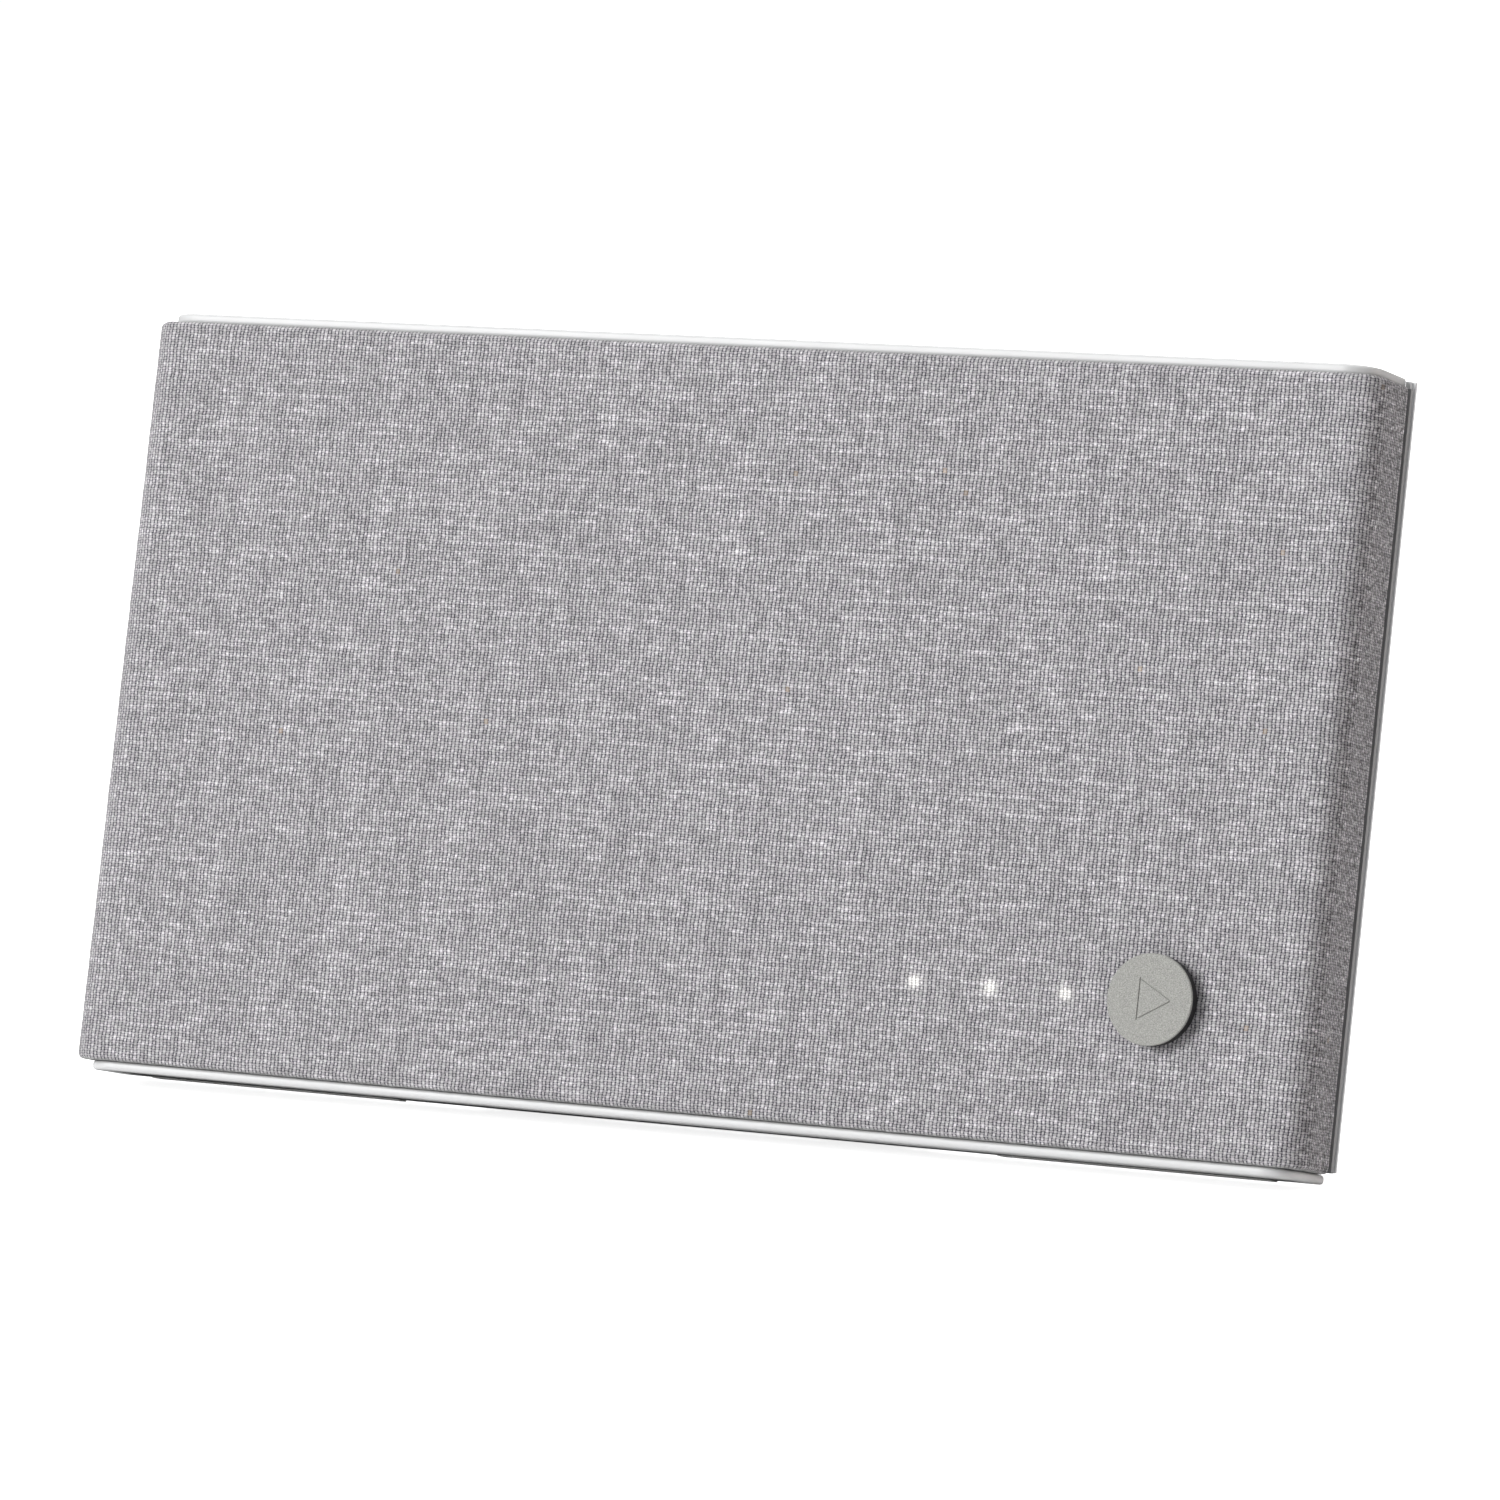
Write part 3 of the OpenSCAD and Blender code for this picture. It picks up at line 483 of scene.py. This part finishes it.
def grainy(name, colour):
    """Matte paint with a fine sparkling grain."""
    g = Graph(name, Specular_IOR_Level=0.35, Metallic=0.1)
    where = g.place()
    grit = g.noise(where, scale=4.6, detail=3.0, roughness=0.7)
    flakes = g.cells(where, scale=3.4)
    g.bump(grit + 0.5 * flakes, 0.05, 1.0)
    return g.set(Base_Color=g.tint(colour, 2.3 * grit + 0.16 * flakes - 0.2), Roughness=0.6 + 0.15 * grit)


def brushed(name, colour, roughness, stretch=(0.05, 1, 1), metallic=1.0):
    """Bare metal with fine lines along one direction and faint stains."""
    g = Graph(name, Metallic=metallic)
    lines = g.noise(g.place(stretch), scale=6.0, detail=2.0)
    stains = g.noise(g.place(), scale=0.2, detail=3.0)
    g.bump(lines, 0.006, 0.8)
    tone = 0.86 + 0.16 * lines + 0.14 * stains
    uneven_gloss = 0.22 * (stains - 0.5) + 0.12 * (lines - 0.5)
    return g.set(Base_Color=g.tint(colour, tone), Roughness=g.clamp(roughness + uneven_gloss))


def rubber(name, colour, roughness=0.82, grain=0.5):
    """Dull rubber with a pebbled grain and a dusty bloom."""
    g = Graph(name, Specular_IOR_Level=0.3, Sheen_Weight=0.12, Sheen_Roughness=0.6)
    where = g.place()
    pebbles = g.cells(where, scale=1 / grain)
    bloom = g.noise(where, scale=0.12, detail=4.0)
    g.bump(pebbles + 0.3 * g.noise(where, scale=5.0), 0.03, 0.8)
    tone = 0.8 + 0.5 * bloom - 0.12 * pebbles
    return g.set(Base_Color=g.tint(colour, tone), Roughness=g.clamp(roughness + 0.2 * (bloom - 0.5)))


def pulp(name, colour):
    """Pressed paper pulp with short fibres."""
    g = Graph(name, Specular_IOR_Level=0.25)
    fibres = g.noise(g.place((1, 1, 0.3)), scale=2.2, detail=5.0, roughness=0.7)
    crossed = g.noise(g.place((0.3, 1, 1)), scale=2.0, detail=4.0, roughness=0.7)
    g.bump(fibres + crossed, 0.05, 0.8)
    tone = 0.55 + 0.55 * fibres + 0.4 * crossed
    return g.set(Base_Color=g.tint(colour, tone), Roughness=0.7 + 0.2 * fibres)


def fine_cloth(name, colour, pitch):
    """Thin resin-dipped cloth with a square weave."""
    g = Graph(name, Specular_IOR_Level=0.3, Sheen_Weight=0.2)
    x, y, z = g.parts(g.place())
    lines_x = g.math("SINE", x * (2 * math.pi / pitch))
    lines_z = g.math("SINE", z * (2 * math.pi / pitch))
    weave = 0.5 + 0.5 * lines_x * lines_z
    uneven = g.noise(g.place(), scale=0.8, detail=2.0)
    g.bump(weave, 0.06, 0.8)
    return g.set(Base_Color=g.tint(colour, 0.6 + 0.35 * weave + 0.2 * uneven), Roughness=0.7 + 0.15 * uneven)


def circuit(name):
    """Green solder mask over copper tracks, with tinned pads."""
    g = Graph(name, Coat_Weight=0.3, Coat_Roughness=0.25)
    pitch = 2.2             # side of one square of the pattern, in mm
    track_w = 0.13          # half the width of a track, as a share of that
    pad_r = 0.3             # radius of a pad, likewise
    x, y, z = g.parts(g.place())
    column = g.math("FLOOR", x / pitch)
    row = g.math("FLOOR", z / pitch)
    turn = g.random(g.vector(column, row, 0.0))
    across = g.math("ABSOLUTE", x / pitch - column - 0.5)
    along = g.math("ABSOLUTE", z / pitch - row - 0.5)
    level_track = g.math("LESS_THAN", along, track_w) * g.math("GREATER_THAN", turn, 0.45)
    upright_track = g.math("LESS_THAN", across, track_w) * g.math("LESS_THAN", turn, 0.55)
    track = g.math("MAXIMUM", level_track, upright_track)
    round_pad = g.math("LESS_THAN", g.math("SQRT", across * across + along * along), pad_r)
    pad = round_pad * g.math("GREATER_THAN", g.random(g.vector(turn, 2.0, 5.0)), 0.86)
    mask = g.mix(track, (0.012, 0.12, 0.05), (0.03, 0.2, 0.08))
    colour = g.mix(pad, mask, (0.75, 0.72, 0.62))
    g.bump(track + pad, 0.03, 0.7)
    tone = 0.85 + 0.3 * g.noise(g.place(), scale=0.3)
    return g.set(Base_Color=g.tint(colour, tone), Metallic=pad * 0.9, Roughness=0.42 - 0.15 * pad)


def glowing(name, colour, strength):
    """A lamp's diffuser, glowing a little unevenly."""
    g = Graph(name, Roughness=0.3)
    uneven = g.noise(g.place(), scale=1.5, detail=2.0)
    return g.set(
        Base_Color=g.tint(colour, 0.9 + 0.1 * uneven),
        Emission_Color=colour,
        Emission_Strength=strength * (0.8 + 0.4 * uneven),
    )


def clear(name, colour):
    """Clear plastic with faint haze."""
    g = Graph(name, Transmission_Weight=0.85, IOR=1.49)
    haze = g.noise(g.place(), scale=0.8, detail=3.0)
    g.bump(haze, 0.01, 0.5)
    return g.set(Base_Color=g.tint(colour, 0.92 + 0.1 * haze), Roughness=g.clamp(0.08 + 0.2 * haze))


WHITE = (0.62, 0.622, 0.625)
MATERIALS = {
    "grille_plastic": moulded("grille_plastic", (0.02, 0.02, 0.021), 0.6),
    "rubber_black": rubber("rubber_black", (0.02, 0.02, 0.02)),
    "shell_grey": moulded("shell_grey", (0.26, 0.262, 0.265), 0.5, grain=0.5, depth=0.02),
    "cap_white": moulded("cap_white", WHITE, 0.42, grain=0.25, depth=0.006, mottle=0.012),
    "cover_silver": moulded(
        "cover_silver", (0.7, 0.71, 0.72), 0.4, grain=0.22, depth=0.01, mottle=0.03, metallic=0.2
    ),
    "foam_black": rubber("foam_black", (0.025, 0.025, 0.025), 0.95, grain=0.35),
    "screw_dark": brushed("screw_dark", (0.12, 0.12, 0.125), 0.4),
    "screw_zinc": brushed("screw_zinc", (0.55, 0.56, 0.58), 0.32),
    "steel": brushed("steel", (0.6, 0.6, 0.61), 0.25),
    "rubber_light": rubber("rubber_light", (0.8, 0.8, 0.79), 0.75, grain=0.4),
    "stamped_steel": brushed("stamped_steel", (0.09, 0.09, 0.095), 0.45),
    "motor_steel": brushed("motor_steel", (0.56, 0.56, 0.58), 0.34),
    "magnet": moulded("magnet", (0.03, 0.03, 0.034), 0.55, grain=0.8, depth=0.04),
    "cone_black": pulp("cone_black", (0.025, 0.025, 0.026)),
    "surround_rubber": rubber("surround_rubber", (0.014, 0.014, 0.014), 0.6, grain=0.3),
    "spider_cloth": fine_cloth("spider_cloth", (0.55, 0.36, 0.16), 0.5),
    "driver_plastic": moulded("driver_plastic", (0.025, 0.025, 0.028), 0.5),
    "dome_silk": fine_cloth("dome_silk", (0.5, 0.42, 0.28), 0.35),
    "radiator_disc": brushed("radiator_disc", (0.1, 0.1, 0.11), 0.4),
    "knob_face": grainy("knob_face", linear(150, 150, 146)),
    "knob_black": moulded("knob_black", (0.006, 0.006, 0.006), 0.45, grain=0.3),
    "brass": brushed("brass", (0.72, 0.5, 0.2), 0.3),
    "encoder_green": moulded("encoder_green", (0.02, 0.09, 0.03), 0.45),
    "nylon_white": moulded("nylon_white", (0.78, 0.78, 0.74), 0.4, mottle=0.03),
    "circuit_board": circuit("circuit_board"),
    "lamp": glowing("lamp", (1.0, 0.98, 0.93), 12.0),
    "light_pipe": clear("light_pipe", (0.95, 0.97, 1.0)),
    "chip_black": moulded("chip_black", (0.014, 0.014, 0.015), 0.4, grain=0.2, depth=0.008),
    "spreader": brushed("spreader", (0.66, 0.67, 0.69), 0.3, stretch=(1, 1, 0.05)),
    "battery_foil": brushed("battery_foil", (0.42, 0.43, 0.46), 0.35, stretch=(0.3, 1, 0.3), metallic=0.8),
    "button_silver": moulded("button_silver", (0.7, 0.7, 0.7), 0.35, grain=0.2, depth=0.008, metallic=0.4),
    "wire_red": rubber("wire_red", (0.5, 0.02, 0.015), 0.45, grain=1.2),
    "ribbon": moulded("ribbon", (0.75, 0.74, 0.68), 0.4, grain=0.6),
}


# ---- dressing the pieces and rounding their edges ----

def dress(piece, material):
    """Gives a piece one material, in every slot that it has."""
    if not piece.data.materials:
        piece.data.materials.append(material)
    for index in range(len(piece.data.materials)):
        piece.data.materials[index] = material


CAP_BACK = 21.7         # the caps' rear edge in the slab's y, in mm
CAP_SIDE_BAND = 6       # an edge this near a side, the front or the back is on a cap's outline, in mm
CAP_FRONT_BAND = 4
CAP_BACK_BAND = 0.4
SHARP = math.radians(32)        # edges that turn by more than this are rounded
WELD = 0.002 * MM               # corners nearer than this become one
FLAT_WITHIN = math.radians(0.4) # faces that meet at less than this become one
WIDE_EDGE = 0.5         # edges rounded by more than this get a third segment, in mm


def on_outline(edge):
    """Whether an edge lies on a cap's outer outline, not on its pegs or recesses."""
    x, y, z = in_slab((edge.verts[0].co + edge.verts[1].co) / 2)
    return abs(x) > HALF_W - CAP_SIDE_BAND or y < CAP_FRONT_BAND or y > CAP_BACK - CAP_BACK_BAND


def softened(name, width):
    """A copy of a CAD node with edges rounded by width in millimetres, which stands for it."""
    form = bmesh.new()
    form.from_mesh(nodes[name].data)
    bmesh.ops.remove_doubles(form, verts=form.verts, dist=WELD)
    bmesh.ops.dissolve_limit(form, angle_limit=FLAT_WITHIN, verts=form.verts, edges=form.edges)
    for face in form.faces:
        face.smooth = True
    weighted = name in ("top_cap", "bottom_cap")
    if weighted:
        weights = form.edges.layers.float.new("bevel_weight_edge")
        for edge in form.edges:
            sharp = edge.calc_face_angle(0) > SHARP
            edge[weights] = 1.0 if sharp and on_outline(edge) else 0.0
    mesh = bpy.data.meshes.new(name + "_form")
    form.to_mesh(mesh)
    form.free()
    piece = bpy.data.objects.new(name + "_form", mesh)
    scene.collection.objects.link(piece)
    bevel = piece.modifiers.new("edges", "BEVEL")
    bevel.width = width * MM
    bevel.segments = 3 if width > WIDE_EDGE else 2
    bevel.limit_method = "WEIGHT" if weighted else "ANGLE"
    bevel.use_clamp_overlap = not weighted
    bevel.angle_limit = SHARP
    normals = piece.modifiers.new("normals", "WEIGHTED_NORMAL")
    normals.mode = "FACE_AREA"
    normals.weight = 100
    normals.keep_sharp = True
    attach(piece, body_of[name])
    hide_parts(name)
    dress(piece, MATERIALS[slot_of[name]])
    return piece


# ---- the object ----

# the lamps are level with the knob: this is that height as a length up the cloth from its bottom hem
LAMP_T = FRONT_HEM - FOLD_R + FOLD_R * math.pi / 2 + KNOB_Z - FOLD_R

cloth, cut_width, cut_height = woven_sheet("woven_cloth")
dress(cloth, cloth_material())
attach(cloth, "root")
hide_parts("grille_cloth")

# how far each of these pieces has its edges rounded, in mm
EDGE_WIDTHS = {
    "top_cap": 0.7, "bottom_cap": 0.8, "rear_cover": 0.15, "enclosure": 0.12, "base_strips": 0.15,
    "foot_plate": 0.3, "foot_pad": 0.15, "foot_pin": 0.2, "power_button": 0.3,
    "knob_cap": 0.06, "knob_body": 0.15, "cover_screws": 0.12,
}
for name, width in EDGE_WIDTHS.items():
    softened(name, width)
for name, node in nodes.items():
    if name != "grille_cloth" and name not in EDGE_WIDTHS:
        dress(node, MATERIALS[slot_of[name]])


# ---- floor, background and lights ----

LIT_POINT = Vector((0, 0, 0.09))


def light(name, place, size, power, colour=(1, 1, 1)):
    """A rectangular light in metres and watts that faces the middle of the object."""
    data = bpy.data.lights.new(name, "AREA")
    data.shape = "RECTANGLE"
    data.size = size[0]
    data.size_y = size[1]
    data.energy = power
    data.color = colour
    lamp = bpy.data.objects.new(name, data)
    lamp.location = place
    lamp.rotation_euler = (LIT_POINT - Vector(place)).to_track_quat("-Z", "Y").to_euler()
    scene.collection.objects.link(lamp)


FLOOR_REACH = 6.0       # in metres, as is the drop
FLOOR_DROP = 0.0003     # puts the floor just below the object, so that none of its faces lies in it
FLOOR_GLOW = 0.82       # emission that only the camera sees, to bring the floor near the background's white
AMBIENT = 0.2           # strength of the world's light on the object: the camera itself sees it at 1

floor_mesh = bpy.data.meshes.new("floor")
corners = [(x * FLOOR_REACH, y * FLOOR_REACH, 0) for x, y in ((-1, -1), (1, -1), (1, 1), (-1, 1))]
floor_mesh.from_pydata(corners, [], [(0, 1, 2, 3)])
floor = bpy.data.objects.new("floor", floor_mesh)
floor.location = (0, 0, -FLOOR_DROP)
scene.collection.objects.link(floor)
pale = Graph("floor", Roughness=0.9, Specular_IOR_Level=0.1)
seen = Value(pale, pale.tree.nodes.new("ShaderNodeLightPath").outputs["Is Camera Ray"])
clouding = 0.99 + 0.02 * pale.noise(pale.place(), scale=0.02)
dress(floor, pale.set(
    Base_Color=pale.tint((0.86, 0.86, 0.86), clouding),
    Emission_Color=(1, 1, 1),
    Emission_Strength=seen * FLOOR_GLOW,
))

world = bpy.data.worlds.new("studio")
scene.world = world
world.use_nodes = True
sky = world.node_tree.nodes["Background"]
path = world.node_tree.nodes.new("ShaderNodeLightPath")
strength = world.node_tree.nodes.new("ShaderNodeMapRange")
strength.inputs["To Min"].default_value = AMBIENT
strength.inputs["To Max"].default_value = 1.0
world.node_tree.links.new(path.outputs["Is Camera Ray"], strength.inputs["Value"])
world.node_tree.links.new(strength.outputs[0], sky.inputs["Strength"])
sky.inputs["Color"].default_value = (1, 1, 1, 1)

light("key", (-2.45, -3.8, 2.0), (2.6, 2.2), 236)
light("overhead", (0.0, 0.35, 1.7), (1.6, 1.0), 16)
light("rear_fill", (-1.7, 3.9, 1.5), (2.4, 2.0), 62)
light("right_fill", (1.95, 0.62, 0.4), (0.4, 0.8), 9, (1, 0.9, 0.85))
